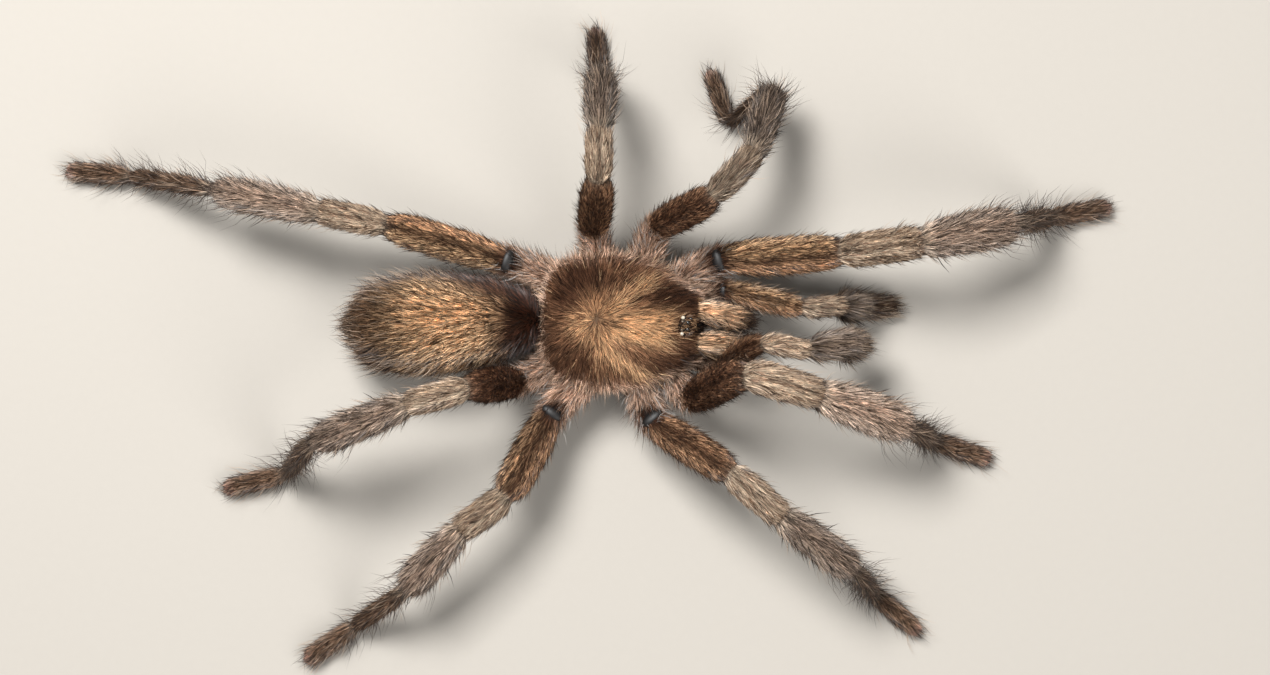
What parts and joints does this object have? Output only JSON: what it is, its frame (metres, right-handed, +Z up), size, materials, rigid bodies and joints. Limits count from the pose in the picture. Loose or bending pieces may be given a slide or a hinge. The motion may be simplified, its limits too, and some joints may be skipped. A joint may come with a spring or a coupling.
{
  "type": "tarantula",
  "caption": "Hairy ground spider standing in mid-stride on eight legs, with two palps, a shield-shaped front body and an oval abdomen.",
  "frame": {"origin": "on the floor, under the middle of the leg span", "axes": "+X ahead of the animal, +Y to its left, +Z up"},
  "size_m": [0.1058, 0.0646, 0.0193],
  "materials": {
    "carapace_coat": "short silky hair",
    "abdomen_coat": "long soft hair",
    "leg_coat": "short grey-beige hair",
    "femur_coat": "golden brown hair",
    "underside_coat": "soft hair",
    "jaw_coat": "pale golden hair",
    "fang": "glossy horn",
    "eye_mound": "satin",
    "dark_eye": "wet gloss",
    "pale_eye": "wet gloss"
  },
  "bodies": {
    "root": {"carapace": "carapace_coat", "eye_mound": "eye_mound", "eye_left_anterior_lateral": "dark_eye", "eye_left_anterior_median": "dark_eye", "eye_left_posterior_lateral": "pale_eye", "eye_left_posterior_median": "pale_eye", "eye_right_anterior_lateral": "dark_eye", "eye_right_anterior_median": "dark_eye", "eye_right_posterior_lateral": "pale_eye", "eye_right_posterior_median": "pale_eye", "sternum": "underside_coat", "pedicel": "underside_coat", "abdomen": "abdomen_coat", "spinneret_left": "underside_coat", "spinneret_right": "underside_coat", "jaw_left": "jaw_coat", "jaw_right": "jaw_coat", "fang_left": "fang", "fang_right": "fang", "leg_left_1_coxa": "underside_coat", "leg_left_1_femur": "femur_coat", "leg_left_1_foot": "leg_coat", "leg_left_1_tibia": "leg_coat", "leg_left_2_coxa": "underside_coat", "leg_left_2_femur": "femur_coat", "leg_left_2_foot": "leg_coat", "leg_left_2_tibia": "leg_coat", "leg_left_3_coxa": "underside_coat", "leg_left_3_femur": "femur_coat", "leg_left_3_foot": "leg_coat", "leg_left_3_tibia": "leg_coat", "leg_left_4_coxa": "underside_coat", "leg_left_4_femur": "femur_coat", "leg_left_4_foot": "leg_coat", "leg_left_4_tibia": "leg_coat", "leg_right_1_coxa": "underside_coat", "leg_right_1_femur": "femur_coat", "leg_right_1_foot": "leg_coat", "leg_right_1_tibia": "leg_coat", "leg_right_2_coxa": "underside_coat", "leg_right_2_femur": "femur_coat", "leg_right_2_foot": "leg_coat", "leg_right_2_tibia": "leg_coat", "leg_right_3_coxa": "underside_coat", "leg_right_3_femur": "femur_coat", "leg_right_3_foot": "leg_coat", "leg_right_3_tibia": "leg_coat", "leg_right_4_coxa": "underside_coat", "leg_right_4_femur": "femur_coat", "leg_right_4_foot": "leg_coat", "leg_right_4_tibia": "leg_coat", "palp_left_coxa": "underside_coat", "palp_left_femur": "femur_coat", "palp_left_foot": "leg_coat", "palp_left_tibia": "leg_coat", "palp_right_coxa": "underside_coat", "palp_right_femur": "femur_coat", "palp_right_foot": "leg_coat", "palp_right_tibia": "leg_coat"}
  },
  "joints": []
}
